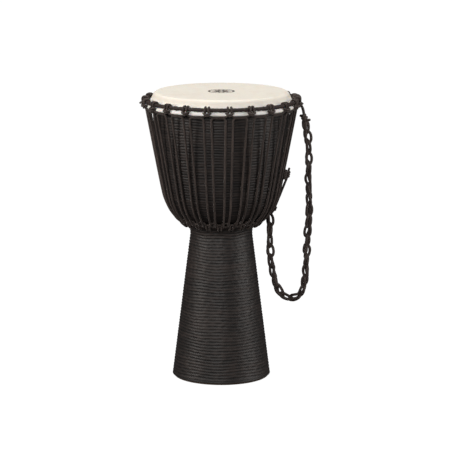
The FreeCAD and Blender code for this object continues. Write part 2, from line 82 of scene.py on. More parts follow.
class DrumSizes(bpy.types.PropertyGroup):
    rib_pitch_foot: length("Foot rib pitch", "Height of one gouged rib on the foot", 0.0064)
    rib_pitch_bowl: length("Bowl rib pitch", "Height of one gouged rib on the bowl", 0.0059)
    rib_depth: length("Rib depth", "Depth of a gouge at its deepest", 0.0012)
    rib_wander: length("Rib wander", "How far a gouge strays up and down round the drum", 0.0011)
    tape_pitch: length(
        "Tape pitch", "Way along a ring from one turn of its tape to the next", 0.0075)
    tape_lap: length("Tape lap", "Height of a tape's edge over the turn below it", 0.0005)
    stitch: length("Chain stitch", "Length of one stitch of the strap's chain", 0.0225)
    print_radius: length("Print radius", "Outer radius of the mark printed on the skin", 0.028)


class DrumFinishes(bpy.types.PropertyGroup):
    wood: colour("Wood", "Stain in the gouges", (0.0058, 0.0050, 0.0051))
    wood_worn: colour("Worn wood", "Stain rubbed thin on the ribs' edges", (0.027, 0.0192, 0.0168))
    wood_inside: colour(
        "Inside wood", "Bare wood of the chamber and the foot's bore", (0.20, 0.115, 0.06))
    skin: colour("Skin", "Shaved and bleached goat skin", (0.765, 0.725, 0.65))
    skin_shade: colour("Skin mottling", "Darker clouds in the skin", (0.71, 0.655, 0.575))
    ink: colour("Print", "Ink of the mark on the skin", (0.030, 0.019, 0.016))
    rope: colour("Rope", "Braided rope's crowns", (0.082, 0.059, 0.051))
    # painted shade: the colour of the valleys between the braid's strands
    painted_braid_shade: colour("Rope valleys", "Between the braid's strands", (0.016, 0.0125, 0.0115))
    tape: colour("Tape", "Cloth tape wound on the rings", (0.024, 0.018, 0.017))
    tape_edge: colour("Tape edge", "Rubbed edge of each turn of tape", (0.050, 0.030, 0.024))


# ---------------- materials

class Value:
    """A socket's output that takes arithmetic: each operator adds a Math node."""

    def __init__(self, paint, socket):
        self.paint = paint
        self.socket = socket

    def maths(self, operation, *terms):
        values = dict(enumerate(terms))
        return self.paint.node("ShaderNodeMath", {"operation": operation}, values)

    def __add__(self, other):
        return self.maths("ADD", self, other)

    def __radd__(self, other):
        return self.maths("ADD", other, self)

    def __sub__(self, other):
        return self.maths("SUBTRACT", self, other)

    def __rsub__(self, other):
        return self.maths("SUBTRACT", other, self)

    def __mul__(self, other):
        return self.maths("MULTIPLY", self, other)

    def __rmul__(self, other):
        return self.maths("MULTIPLY", other, self)

    def __truediv__(self, other):
        return self.maths("DIVIDE", self, other)

    def __pow__(self, other):
        return self.maths("POWER", self, other)

    def sine(self):
        return self.maths("SINE", self)

    def absolute(self):
        return self.maths("ABSOLUTE", self)

    def most(self, other):
        return self.maths("MAXIMUM", self, other)

    def between(self, low, high):
        """0 at low, 1 at high, smooth in between and held outside."""
        return self.paint.node(
            "ShaderNodeMapRange", {"interpolation_type": "SMOOTHSTEP"},
            {"Value": self, "From Min": low, "From Max": high})


class Paint:
    """One material while its nodes are put together."""

    def __init__(self, name, roughness, specular=0.5):
        self.material = bpy.data.materials.new(name)
        self.material.use_nodes = True
        self.tree = self.material.node_tree
        self.shader = next(n for n in self.tree.nodes if n.type == "BSDF_PRINCIPLED")
        self.shader.inputs["Roughness"].default_value = roughness
        self.shader.inputs["Specular IOR Level"].default_value = specular

    def node(self, kind, settings=None, values=None, out=None):
        """A node: its settings first, then its sockets' values or links; returns one output."""
        node = self.tree.nodes.new(kind)
        for name, value in (settings or {}).items():
            setattr(node, name, value)
        for name, value in (values or {}).items():
            self.put(node, name, value)
        sockets = [s for s in node.outputs if s.enabled]
        if out is not None:
            sockets = [s for s in sockets if s.name == out]
        return Value(self, sockets[0])

    def put(self, node, name, value):
        sockets = [s for s in node.inputs if s.enabled]
        if isinstance(name, int):
            socket = sockets[name]
        else:
            socket = next(s for s in sockets if s.name == name)
        if isinstance(value, Value):
            self.tree.links.new(value.socket, socket)
        elif socket.type == "RGBA":
            socket.default_value = (*value[:3], 1.0)
        else:
            socket.default_value = value

    def feed(self, name, value):
        self.put(self.shader, name, value)

    def mix(self, share, first, second):
        """Colour from first to second."""
        return self.node("ShaderNodeMix", {"data_type": "RGBA"},
                         {"Factor": share, "A": first, "B": second})

    def place(self):
        return self.node("ShaderNodeTexCoord", out="Object")

    def stretched(self, scale):
        """Object coordinates, scaled by three numbers."""
        return self.node("ShaderNodeMapping", None, {"Vector": self.place(), "Scale": scale})

    def parts(self, vector):
        node = self.tree.nodes.new("ShaderNodeSeparateXYZ")
        self.put(node, "Vector", vector)
        return [Value(self, s) for s in node.outputs]

    def noise(self, scale, detail=2.0, roughness=0.5, stretch=None):
        vector = self.stretched(stretch) if stretch else self.place()
        return self.node("ShaderNodeTexNoise", None, {
            "Vector": vector, "Scale": scale, "Detail": detail, "Roughness": roughness}, out="Fac")

    def attribute(self, name):
        return self.node("ShaderNodeAttribute", {"attribute_name": name}, out="Fac")

    def bump(self, height, distance, strength=1.0):
        normal = self.node("ShaderNodeBump", None, {
            "Height": height, "Distance": distance, "Strength": strength})
        self.feed("Normal", normal)


def wood_paint(finishes):
    """Dark stain on gouged wood: thin on the ribs' edges, with streaks that run with the gouges."""
    paint = Paint("carved stained wood", 0.42, 0.38)
    edge = paint.attribute("rib_edge")
    streaks = paint.noise(1.0, 3.0, 0.6, (9.0, 9.0, 160.0))
    clouds = paint.noise(14.0, 2.0)
    pores = paint.noise(1.0, 3.0, 0.65, (90.0, 90.0, 420.0))
    worn = edge * 0.75 + (streaks - 0.5) * 1.5 + (clouds - 0.5) * 0.7
    colour = paint.mix(worn.between(0.05, 0.95), finishes.wood, finishes.wood_worn)
    inside = paint.attribute("bare")
    bare = paint.mix(streaks.between(0.35, 0.7), finishes.wood_inside,
                     tuple(0.6 * c for c in finishes.wood_inside))
    paint.feed("Base Color", paint.mix(inside, colour, bare))
    paint.feed("Roughness", 0.36 + 0.22 * streaks + 0.10 * pores + 0.25 * inside)
    paint.bump(streaks * 0.45 + pores * 0.55, 0.0005)
    return paint.material


def skin_paint(finishes, print_radius):
    """Bleached skin with faint clouds and hair pores, and a plain geometric mark in ink."""
    paint = Paint("goat skin", 0.58, 0.35)
    x, y, z = paint.parts(paint.place())
    clouds = paint.noise(22.0, 4.0, 0.6)
    pores = paint.noise(900.0, 2.0, 0.6)
    fibres = paint.noise(1.0, 4.0, 0.65, (60.0, 14.0, 30.0))
    shade = (clouds * 0.65 + fibres * 0.45).between(0.40, 0.85)
    colour = paint.mix(shade, finishes.skin, finishes.skin_shade)
    # painted light: from just above the crown ring downwards the skin is painted near white and
    # loses its clouds, to brighten the lower collar and the fold where the ring shades them
    painted_light_below_crown = 1.0 - z.between(CROWN[1] - 0.0030, CROWN[1] + 0.0100)
    colour = paint.mix(painted_light_below_crown * 0.9, colour, (0.96, 0.95, 0.93))
    far = (x * x + y * y) ** 0.5
    around = paint.node("ShaderNodeMath", {"operation": "ARCTAN2"}, {0: y, 1: x})
    petals = (around * 6.0).sine().absolute()
    edge = 0.0006
    line = print_radius * 0.09
    reach = far / print_radius
    ring = (far - print_radius * 0.93).absolute()
    outer = 1.0 - ring.between(line - edge, line + edge * 0.2)
    star = 1.0 - (reach - (0.34 + petals * 0.40)).between(-0.02, 0.03)
    hole = reach.between(0.16, 0.20)
    mark = outer.most(star * hole)
    top = (z - (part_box("drum_head")[1].z - 0.002)).between(-0.001, 0.0)
    rubbed = paint.noise(420.0, 3.0, 0.7).between(0.28, 0.50)
    inked = mark * top * (0.88 + rubbed * 0.12)
    paint.feed("Base Color", paint.mix(inked, colour, finishes.ink))
    paint.feed("Roughness", 0.52 + 0.16 * clouds)
    paint.bump(pores * 0.35 + fibres * 0.65, 0.0004, 0.7)
    paint.shader.inputs["Subsurface Weight"].default_value = 0.12
    paint.shader.inputs["Subsurface Radius"].default_value = (0.004, 0.0022, 0.0012)
    return paint.material


def rope_paint(finishes):
    """Braided polyester: two crossing sets of strands in the rope's own UV map."""
    paint = Paint("braided rope", 0.55, 0.3)
    around, along, _ = paint.parts(paint.node("ShaderNodeTexCoord", out="UV"))
    strands = 6.0
    left = (around * strands + along * BRAID_SLANT) * math.pi
    right = (around * strands - along * BRAID_SLANT) * math.pi
    weave = left.sine().absolute() * right.sine().absolute()
    fuzz = paint.noise(700.0, 3.0, 0.65)
    dirt = paint.noise(26.0, 3.0, 0.6)
    # painted shade in the braid's valleys, mixed with real dirt and fuzz: where the weave is low
    # the rope takes the darker colour
    share = (weave ** 0.6) * 0.8 + (fuzz - 0.5) * 0.5 + (dirt - 0.5) * 0.8
    paint.feed("Base Color", paint.mix(share.between(0.0, 0.95), finishes.painted_braid_shade,
                                       finishes.rope))
    paint.feed("Roughness", 0.50 + 0.2 * fuzz)
    paint.bump((weave ** 0.5) * 0.85 + fuzz * 0.15, 0.00035)
    paint.shader.inputs["Sheen Weight"].default_value = 0.12
    paint.shader.inputs["Sheen Roughness"].default_value = 0.4
    return paint.material


def tape_paint(finishes):
    """Dark cloth tape: each turn's edge is rubbed, with a plain weave in the bump."""
    paint = Paint("cloth tape", 0.6, 0.25)
    lap = paint.attribute("lap")
    weave = paint.noise(1500.0, 1.0)
    dirt = paint.noise(60.0, 3.0, 0.6)
    worn = (lap ** 2.0) * 0.9 + (dirt - 0.5) * 0.9
    paint.feed("Base Color", paint.mix(worn.between(0.1, 1.0), finishes.tape, finishes.tape_edge))
    paint.feed("Roughness", 0.5 + 0.2 * weave)
    paint.bump(weave, 0.00018)
    return paint.material


def steel_paint():
    """Bare drawn rod with mill scale and a little rust."""
    paint = Paint("ring rod", 0.4, 0.5)
    scale = paint.noise(90.0, 4.0, 0.65)
    pits = paint.noise(800.0, 2.0)
    rust = scale.between(0.52, 0.66)
    paint.feed("Base Color", paint.mix(rust, (0.16, 0.155, 0.15), (0.09, 0.04, 0.02)))
    paint.feed("Metallic", 1.0 - rust * 0.8)
    paint.feed("Roughness", 0.34 + 0.3 * rust + 0.1 * pits)
    paint.bump(pits, 0.0002)
    return paint.material


PAINTS = {}


def paint_of(name):
    """The material of that name, made once."""
    finishes = bpy.context.scene.drum_finishes
    makers = {
        "wood": lambda: wood_paint(finishes),
        "skin": lambda: skin_paint(finishes, bpy.context.scene.drum_sizes.print_radius),
        "rope": lambda: rope_paint(finishes),
        "tape": lambda: tape_paint(finishes),
        "steel": steel_paint,
    }
    if name not in PAINTS:
        PAINTS[name] = makers[name]()
    return PAINTS[name]


# ---------------- pieces

def add_piece(name, mesh, body, paint, slot, *nodes):
    """Object at the origin that rides on a body and stands for CAD nodes."""
    piece = bpy.data.objects.new(name, mesh)
    bpy.context.scene.collection.objects.link(piece)
    mesh.materials.clear()
    mesh.materials.append(paint_of(paint))
    mesh.shade_smooth()
    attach(piece, body)
    if nodes:
        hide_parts(*nodes)
    return piece


def outline(node):
    """A turned node's section as (radius, height) points in order, one array for each loop."""
    cut = bmesh.new()
    cut.from_mesh(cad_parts[node].data)
    bmesh.ops.remove_doubles(cut, verts=cut.verts, dist=2e-6)
    lean = 0.02
    found = bmesh.ops.bisect_plane(
        cut, geom=cut.verts[:] + cut.edges[:] + cut.faces[:], dist=1e-7,
        plane_co=(0, 0, 0), plane_no=(-math.sin(lean), math.cos(lean), 0))["geom_cut"]
    kept = [e for e in found if isinstance(e, bmesh.types.BMEdge)
            and all(v.co.x > -1e-6 for v in e.verts)]
    beside = {}
    for edge in kept:
        a, b = edge.verts
        beside.setdefault(a, []).append(b)
        beside.setdefault(b, []).append(a)
    loops = []
    while beside:
        start = next((v for v, near in beside.items() if len(near) == 1), next(iter(beside)))
        chain = [start]
        while True:
            near = [v for v in beside.get(chain[-1], []) if v in beside and v not in chain[-2:]]
            beside.pop(chain[-1], None)
            near = [v for v in near if v in beside]
            if not near:
                break
            chain.append(near[0])
        loops.append(np.array([(math.hypot(v.co.x, v.co.y), v.co.z) for v in chain]))
    cut.free()
    return sorted(loops, key=len, reverse=True)


def lengths_along(line):
    steps = np.linalg.norm(np.diff(line, axis=0), axis=1)
    return np.concatenate([[0.0], np.cumsum(steps)])


def at_lengths(line, places):
    """Points of a line at the given lengths along it."""
    far = lengths_along(line)
    return np.stack([np.interp(places, far, line[:, i]) for i in range(line.shape[1])], axis=1)


def turned(profile, columns, closed):
    """Mesh spun full round from a profile; each vertex keeps its place in the profile."""
    spun = bmesh.new()
    row = spun.verts.layers.int.new("row")
    verts = [spun.verts.new((r, 0.0, z)) for r, z in profile]
    for i, vert in enumerate(verts):
        vert[row] = i
    ends = verts[1:] + (verts[:1] if closed else [])
    edges = [spun.edges.new(pair) for pair in zip(verts, ends)]
    bmesh.ops.spin(spun, geom=verts + edges, cent=(0, 0, 0), axis=(0, 0, 1),
                   angle=2 * math.pi, steps=columns, use_merge=True)
    bmesh.ops.remove_doubles(spun, verts=spun.verts, dist=1e-6)
    bmesh.ops.recalc_face_normals(spun, faces=spun.faces)
    mesh = bpy.data.meshes.new("turned")
    spun.to_mesh(mesh)
    spun.free()
    return mesh


def vertices_of(mesh):
    places = np.empty(len(mesh.vertices) * 3)
    mesh.vertices.foreach_get("co", places)
    return places.reshape(-1, 3)


def set_vertices(mesh, places):
    mesh.vertices.foreach_set("co", places.ravel())
    mesh.update()


def round_axis(verts):
    """Each vertex's angle round the drum's axis and its distance from it."""
    return np.arctan2(verts[:, 1], verts[:, 0]), np.hypot(verts[:, 0], verts[:, 1])


def set_round(mesh, angle, radius, height):
    """Move each vertex to an angle, a radius and a height."""
    set_vertices(mesh, np.stack([
        radius * np.cos(angle), radius * np.sin(angle), height], axis=1))


def ramp(values, start, run):
    """0 at start and 1 a run further on, straight between and held outside."""
    return np.clip((values - start) / run, 0, 1)


def rows_of(mesh):
    rows = np.empty(len(mesh.vertices), dtype=np.int32)
    mesh.attributes["row"].data.foreach_get("value", rows)
    return rows


def set_attribute(mesh, name, values):
    layer = mesh.attributes.new(name, "FLOAT", "POINT")
    layer.data.foreach_set("value", np.asarray(values, dtype=np.float32))


def round_noise(rng, angles, lowest, highest):
    """Smooth periodic noise round the drum, about -1 to 1."""
    total = np.zeros_like(angles)
    for order in range(lowest, highest + 1):
        total += rng.normal() * np.cos(order * angles + rng.uniform(0, 2 * math.pi))
    usual_peak = 1.6
    return total / math.sqrt((highest - lowest + 1) * 0.5) / usual_peak


def carved_profile(line, pitches, split):
    """Rows up the outside, four to a rib; returns their lengths along the line and rib counts."""
    far = lengths_along(line)[-1]
    shortest = 0.6 * pitches[1]
    places = []
    here = 0.0
    rib = 0
    while here < far - shortest:
        height = at_lengths(line, [here])[0][1]
        pitch = pitches[0] if height < split else pitches[1]
        for quarter in range(4):
            places.append((here + pitch * quarter / 4, rib, quarter / 4))
        here += pitch
        rib += 1
    places.append((here, rib, 0.0))
    return [p for p in places if p[0] <= far]


# ---------------- ropes

def follow(points, closed, resolution=6):
    """Points along the smooth curve whose control points are given."""
    curve = bpy.data.curves.new("route", "CURVE")
    curve.dimensions = "3D"
    curve.resolution_u = resolution
    spline = curve.splines.new("NURBS")
    spline.points.add(len(points) - 1)
    for control, point in zip(spline.points, points):
        control.co = (*point, 1.0)
    spline.use_cyclic_u = closed
    spline.use_endpoint_u = not closed
    spline.order_u = 3
    holder = bpy.data.objects.new("route", curve)
    mesh = bpy.data.meshes.new_from_object(holder)
    line = vertices_of(mesh).copy()
    bpy.data.objects.remove(holder)
    bpy.data.curves.remove(curve)
    bpy.data.meshes.remove(mesh)
    keep = np.concatenate([[True], np.linalg.norm(np.diff(line, axis=0), axis=1) > 1e-6])
    return line[keep]


def evenly(line, step):
    """The same line with points a step apart."""
    far = lengths_along(line)[-1]
    return at_lengths(line, np.linspace(0, far, max(2, int(round(far / step)) + 1)))


def tangents(line, closed):
    if closed:
        way = np.roll(line, -1, axis=0) - np.roll(line, 1, axis=0)
    else:
        way = np.gradient(line, axis=0)
    return way / np.linalg.norm(way, axis=1)[:, None]


def carried_frames(line, closed):
    """Two directions across the line at each point, carried along without twist."""
    way = tangents(line, closed)
    first = np.cross(way[0], (0.0, 0.0, 1.0) if abs(way[0][2]) < 0.9 else (1.0, 0.0, 0.0))
    side = [first / np.linalg.norm(first)]
    for i in range(1, len(line)):
        carried = side[-1] - way[i] * np.dot(side[-1], way[i])
        side.append(carried / np.linalg.norm(carried))
    side = np.array(side)
    up = np.cross(way, side)
    if closed:
        last = side[-1] - way[0] * np.dot(side[-1], way[0])
        turn = math.atan2(np.dot(np.cross(last, side[0]), way[0]), np.dot(last, side[0]))
        angle = np.linspace(0, turn, len(line), endpoint=False)[:, None]
        cos, sin = np.cos(angle), np.sin(angle)
        side, up = side * cos + up * sin, up * cos - side * sin
    return way, side, up


def rope_mesh(name, lines, radius, sides, closed):
    """Round rope along each line; UV map: turns round, then diameters along."""
    verts, faces, uvs = [], [], []
    angles = np.arange(sides) * 2 * math.pi / sides
    for line in lines:
        way, side, up = carried_frames(line, closed)
        rings = [(line[i], radius, side[i], up[i]) for i in range(len(line))]
        if not closed:
            domes = [(math.sin(a) * radius, math.cos(a) * radius) for a in (0.35, 0.8, 1.2, 1.5)]
            start = [(line[0] - way[0] * d, r, side[0], up[0]) for d, r in reversed(domes)]
            end = [(line[-1] + way[-1] * d, r, side[-1], up[-1]) for d, r in domes]
            rings = start + rings + end
        base = len(verts)
        centres = np.array([ring[0] for ring in rings])
        along = lengths_along(centres) / (2 * radius)
        if closed:
            whole = along[-1] + np.linalg.norm(centres[0] - centres[-1]) / (2 * radius)
            # the braid's waves close on themselves
            waves = whole * BRAID_SLANT
            along = np.append(along, whole) * round(waves) / waves
        for centre, size, across, over in rings:
            verts.extend(centre + size * (math.cos(a) * across + math.sin(a) * over)
                         for a in angles)
        count = len(rings)
        for i in range(count if closed else count - 1):
            j = (i + 1) % count
            for k in range(sides):
                n = (k + 1) % sides
                faces.append((base + i * sides + k, base + i * sides + n,
                              base + j * sides + n, base + j * sides + k))
                uvs.extend([(k / sides, along[i]), ((k + 1) / sides, along[i]),
                            ((k + 1) / sides, along[i + 1]), (k / sides, along[i + 1])])
        if not closed:
            faces.append(tuple(base + k for k in reversed(range(sides))))
            faces.append(tuple(base + (count - 1) * sides + k for k in range(sides)))
            uvs.extend([(0.0, 0.0)] * (2 * sides))
    mesh = bpy.data.meshes.new(name)
    mesh.from_pydata([tuple(v) for v in verts], [], faces)
    layer = mesh.uv_layers.new(name="UVMap")
    layer.data.foreach_set("uv", np.array(uvs, dtype=np.float32).ravel())
    mesh.update()
    return mesh


def add_rope(name, lines, radius, body, *nodes, sides=12, closed=False):
    """One piece of rope along each line, which stands for CAD nodes."""
    mesh = rope_mesh(name, lines, radius, sides, closed)
    return add_piece(name, mesh, body, "rope", "rope", *nodes)


def at(angle, radius, height):
    """Point from an angle in degrees round the drum, a radius and a height."""
    way = math.radians(angle)
    return (radius * math.cos(way), radius * math.sin(way), height)


def spread(distance, radius):
    """Degrees round the drum that a distance across takes up at a radius."""
    return math.degrees(distance / radius)


def ring_of(node):
    """A ring's radius, height and half thickness, from its box."""
    low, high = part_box(node)
    half = (high.z - low.z) / 2
    return high.x - half, low.z + half, half


class Outside:
    """The bowl's outer surface, asked for a place beside it at a height."""

    def __init__(self):
        shell = bmesh.new()
        shell.from_mesh(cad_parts["shell"].data)
        self.tree = BVHTree.FromBMesh(shell)
        shell.free()

    def touched(self, height):
        """Place on the surface at a height, and its way out."""
        place, normal, _, _ = self.tree.ray_cast(
            Vector((1.0, 0.0, height)), Vector((-1.0, 0.0, 0.0)))
        return place, normal if normal.x > 0 else -normal

    def beside(self, height, gap):
        place, normal = self.touched(height)
        return place.x + gap * normal.x, place.z + gap * normal.z


CROWN = ring_of("crown_ring_tape")
FLESH = ring_of("flesh_ring")
SKIN = 0.0011
FOLD = FLESH[2] + SKIN
BASE = ring_of("bottom_ring_tape")


def under_fold(away, slope):
    """Radius and height at a distance from the flesh ring's middle, a slope below level."""
    slope = math.radians(slope)
    return FLESH[0] + away * math.cos(slope), FLESH[1] - away * math.sin(slope)


# the loops' runs and, tucked under them, the lacing's lie against the fold of the skin
LOOP_RUN = under_fold(FOLD + LOOP_ROPE / 2 + GAP, 49.0)
LACE_TOP = under_fold(FOLD + ROPE / 2 + 0.0012, 76.0)
# heights where foot meets bowl, of the bottom loops' runs and of the lacing up the bowl
WAIST = 0.3054
BASE_RUN = WAIST + 0.0406
LACE_LOW = WAIST + 0.0366
LACE_RISES = (0.0494, 0.0582, 0.0759, 0.0936)
# half widths of a hitch over the ring and of its neck below it
HITCH_HALF = 0.0035
NECK_HALF = 0.0030
# width, drop and tuck of a hitch's crossings, and of the one on a bottom hitch
CROWN_BARS = ((0.0052, 0.0062, 0.0), (0.0036, 0.0092, 0.0036))
BASE_BAR = (0.0052, -0.0048)
# the lacing is tied off round the pair of verticals below this hitch
TIE_OFF_HITCH = 5
TIE_OFF_SPREAD = 2.77
TIE_OFF_HEIGHT = WAIST + 0.1285
OUTSIDE = Outside()


def round_route(half, first, stray=0.0):
    """Control points of an endless rope from its half bay (angle, radius, height).

    Each half bay may stray a little sideways, most at its middle.
    """
    points = []
    rng = np.random.default_rng(21)
    bulge = np.sin(np.linspace(0, math.pi, len(half))) ** 2
    for i in range(BAYS):
        start = first + i * BAY
        up, down = rng.uniform(-stray, stray, 2)
        points += [at(start + a + up * b, r, h) for (a, r, h), b in zip(half, bulge)]
        points += [at(start + BAY - a + down * b, r, h)
                   for (a, r, h), b in reversed(list(zip(half[:-1], bulge)))]
    return points


def crown_half():
    """Loop at the crown: bar behind the ring, over it, down in front, flared into the loop."""
    radius, height, taped = CROWN
    reach = taped + GAP + LOOP_ROPE / 2
    front = FLESH[0] + FOLD + LOOP_ROPE / 2 + GAP
    wide = spread(HITCH_HALF, radius)
    neck = spread(NECK_HALF, radius)
    return [
        (wide, radius - reach, height - LOOP_ROPE / 2),
        (wide, radius - reach, height + reach),
        (wide, radius + reach, height + reach),
        (wide, radius + reach, height - reach / 2),
        (neck * 0.85, front, FLESH[1] + 0.0012),
        (neck * 1.15, front, FLESH[1] - 0.0016),
        (neck * 2.3, LOOP_RUN[0] + 0.0003, LOOP_RUN[1] + 0.0007),
        (neck * 3.8, *LOOP_RUN),
        (BAY / 2, *LOOP_RUN),
    ]


def base_half():
    """Loop at the bottom: bar under the ring, up in front, loop lying on the bowl."""
    centre = np.array(BASE[:2])
    reach = BASE[2] + GAP + LOOP_ROPE / 2
    _, normal = OUTSIDE.touched(BASE[1] + 0.002)
    outward = np.array([normal.x, normal.z])
    outward /= np.linalg.norm(outward)
    upward = np.array([-outward[1], outward[0]])
    low = centre - upward * reach + outward * GAP
    corner = centre - upward * reach + outward * reach
    ahead = centre + upward * reach / 2 + outward * reach
    run = OUTSIDE.beside(BASE_RUN, LOOP_ROPE / 2 + GAP)
    neck = spread(NECK_HALF, centre[0])
    return [
        (neck, *low), (neck, *corner), (neck, *ahead), (neck * 1.4, *run), (BAY / 2, *run),
    ]


def lacing_half():
    """Lacing from mid bottom loop up the bowl to mid crown loop."""
    on_shell = ROPE / 2 + 2 * GAP
    over_loop = ROPE / 2 + LOOP_ROPE + 2 * GAP
    low = OUTSIDE.beside(LACE_LOW, over_loop)
    over = OUTSIDE.beside(BASE_RUN, over_loop + GAP)
    start = spread(0.0048, low[0])
    end = spread(0.0077, LACE_TOP[0])
    bowl = [(start, *OUTSIDE.beside(WAIST + rise, on_shell + 2 * GAP)) for rise in LACE_RISES]
    flank = bowl[-1]
    turning = 0.014
    near = turning / (LACE_TOP[1] - flank[2])
    below = tuple(t + (f - t) * near for t, f in zip((end, *LACE_TOP), flank))
    return ([(start, *low), (start, *over)] + bowl
            + [below, (end, *LACE_TOP), (BAY / 2, *LACE_TOP)])


def hitch_bar(angle, ring, wide, drop, inward=0.0):
    """Short crossing of a hitch in front of its two legs, its ends tucked under the ring."""
    radius, height, taped = ring
    out = taped + LOOP_ROPE + GAP - inward
    side = spread(wide, radius)
    half = [
        (side * 1.45, radius + out * 0.42, height - drop * 0.95),
        (side * 1.20, radius + out * 0.80, height - drop * 0.97),
        (side * 0.75, radius + out + LOOP_ROPE * 0.25, height - drop * 1.15),
        (side * 0.25, radius + out + LOOP_ROPE * 0.60, height - drop * 1.25),
    ]
    return ([at(angle - a, r, h) for a, r, h in half]
            + [at(angle + a, r, h) for a, r, h in reversed(half)])


# route of the strap: the single rope from its hitch to the knot, then the chain to its foot knot
LEAD_ROUTE = [
    (0.1664, 0.0175, 0.5800), (0.1706, 0.0154, 0.5740), (0.1730, 0.0144, 0.5665),
    (0.1746, 0.0137, 0.5555),
]
CHAIN_ROUTE = [
    (0.1770, 0.0128, 0.5465), (0.1820, 0.0110, 0.5120), (0.1852, 0.0100, 0.4600),
    (0.1846, 0.0104, 0.4040), (0.1874, 0.0094, 0.3520), (0.1834, 0.0110, 0.2960),
    (0.1810, 0.0120, 0.2520), (0.1798, 0.0114, 0.2160), (0.1763, 0.0127, 0.1860),
    (0.1685, 0.0157, 0.1685), (0.1535, 0.0214, 0.1590), (0.1365, 0.0278, 0.1605),
    (0.1235, 0.0328, 0.1720), (0.1152, 0.0359, 0.1930), (0.1085, 0.0385, 0.2220),
    (0.1036, 0.0403, 0.2560), (0.1032, 0.0405, 0.2990), (0.1046, 0.0404, 0.3410),
]
# the strap's hitch on the crown ring; its knot, the knot's lean and its two ends
STRAP_HITCH_ANGLE = 6.0
STRAP_KNOT = np.array((0.1749, 0.0136, 0.5520))
KNOT_WAY = np.array((0.55, -0.15, -0.82))
KNOT_WAY /= np.linalg.norm(KNOT_WAY)
KNOT_ENDS = np.array(((-0.0072, 0.0015, 0.0036), (0.0106, -0.0024, -0.0046)))
# the foot knot, its lean up the bowl, and where its tail goes beside the chain's end
FOOT_KNOT_ANGLE = 15.6
FOOT_KNOT = np.array(at(FOOT_KNOT_ANGLE, 0.1175, 0.3540))
FOOT_WAY = np.array(at(FOOT_KNOT_ANGLE, 0.3987, 0.9171))
FOOT_TAIL = np.array((0.0016, -0.0020, 0.0005))
CHAIN_HALF_WIDTH = 0.0055
# radius of the pull rope and the foot knot, which are drawn a little thick
PULL_THICK = ROPE * 0.56


def coil_route(centre, way, radius, pitch, turns, start=0.0):
    """Control points of close turns round a way: the body of a pulled-tight knot."""
    side = np.cross(way, (0.0, 0.0, 1.0) if abs(way[2]) < 0.9 else (1.0, 0.0, 0.0))
    side /= np.linalg.norm(side)
    up = np.cross(way, side)
    points = []
    steps = 10
    corner = radius * 1.03
    for i in range(int(turns * steps) + 1):
        angle = start + i * 2 * math.pi / steps
        rise = pitch * (i / steps - turns / 2)
        points.append(centre + way * rise
                      + corner * (math.cos(angle) * side + math.sin(angle) * up))
    return points


# how open each stitch of the chain is, over and over
PULLED = (0.86, 1.22, 0.70, 1.12, 0.66, 1.18, 0.74, 0.72, 1.14)


def chain_strand(line, stitch, half_width):
    """Control points of the one rope that is looped into a chain along a line.

    Each stitch rises through the loop before it, goes up one side, round behind the next
    stitch's legs and down the other side, and steps on at the back.
    """
    spare = 0.006
    first, last = line[0] - line[1], line[-1] - line[-2]
    line = np.concatenate([[line[0] + first / np.linalg.norm(first) * spare], line,
                           [line[-1] + last / np.linalg.norm(last) * spare]])
    lengths = lengths_along(line)
    far = lengths[-1]
    way = tangents(line, False)
    count = int(round((far - 2 * spare) / stitch))
    stitch = (far - 2 * spare - STRAP_ROPE) / count
    rng = np.random.default_rng(11)
    d = STRAP_ROPE
    points = []

    def beside(s, across, front):
        s = min(max(s, 0.0), far)
        centre = at_lengths(line, [s])[0]
        t = np.array([np.interp(s, lengths, way[:, i]) for i in range(3)])
        t /= np.linalg.norm(t)
        side = np.cross(t, (0.0, -1.0, 0.0))
        side /= np.linalg.norm(side)
        ahead = np.cross(side, t)
        # the chain hangs with a slow twist one way and the other
        turn = 0.60 * math.sin(s * 29.0 + 0.4) + 0.45 * math.sin(s * 67.0 + 1.0)
        c, n = math.cos(turn), math.sin(turn)
        return centre + across * (c * side + n * ahead) + front * (c * ahead - n * side)

    for k in range(count):
        p = stitch
        base = spare + p * k + 0.2 * d + rng.uniform(-1, 1) * 0.0015
        w = half_width * (PULLED[k % len(PULLED)] + rng.uniform(-0.06, 0.06))
        hand = rng.uniform(-1.0, 1.0)
        left = w * (1.0 + 0.25 * hand)
        right = w * (1.0 - 0.25 * hand)
        top = min(base + p, far - spare - 0.6 * d)
        for far_on, across, front in (
                (base - 0.3 * d, -0.15 * w, -0.75 * d),
                (base + 0.1 * d, -0.40 * w, 0.05 * d),
                (base + 0.30 * p, -0.85 * left, 0.60 * d),
                (base + 0.70 * p, -1.0 * left, 0.42 * d),
                (top + 0.1 * d, -0.90 * left, -0.02 * d),
                (top + 0.95 * d, -0.42 * w, -0.35 * d),
                (top + 0.95 * d, 0.42 * w, -0.35 * d),
                (top + 0.1 * d, 0.90 * right, -0.02 * d),
                (base + 0.70 * p, 1.0 * right, 0.42 * d),
                (base + 0.30 * p, 0.85 * right, 0.60 * d),
                (base + 0.1 * d, 0.40 * w, 0.05 * d),
                (base - 0.2 * d, 0.15 * w, -0.85 * d),
                (base + 0.35 * p, 0.50 * w * math.copysign(1, hand), -0.95 * d),
                (base + 0.70 * p, 0.45 * w * math.copysign(1, hand), -0.95 * d)):
            points.append(beside(far_on, across, front))
    return points


# ---------------- operators

# name, place, height aimed at, size, power and colour
LAMPS = (
    ("key", (-0.7, -4.4, 1.8), 0.42, 1.2, 84.0, (1.0, 0.975, 0.95)),
    ("left", (-3.0, -1.3, 1.3), 0.50, 1.3, 68.0, (1.0, 0.95, 0.90)),
    ("right", (3.0, -0.9, 0.8), 0.38, 2.2, 56.0, (1.0, 0.97, 0.94)),
    ("top", (0.0, 0.3, 2.8), 0.60, 1.6, 46.0, (1.0, 0.99, 0.97)),
)
# the camera's place, its tilt from straight down, its lens in millimetres and its shift
CAMERA_PLACE = (0.0, -5.0164, 1.2882)
CAMERA_TILT = 79.06
CAMERA_LENS = 190.6
CAMERA_SHIFT = 0.0136


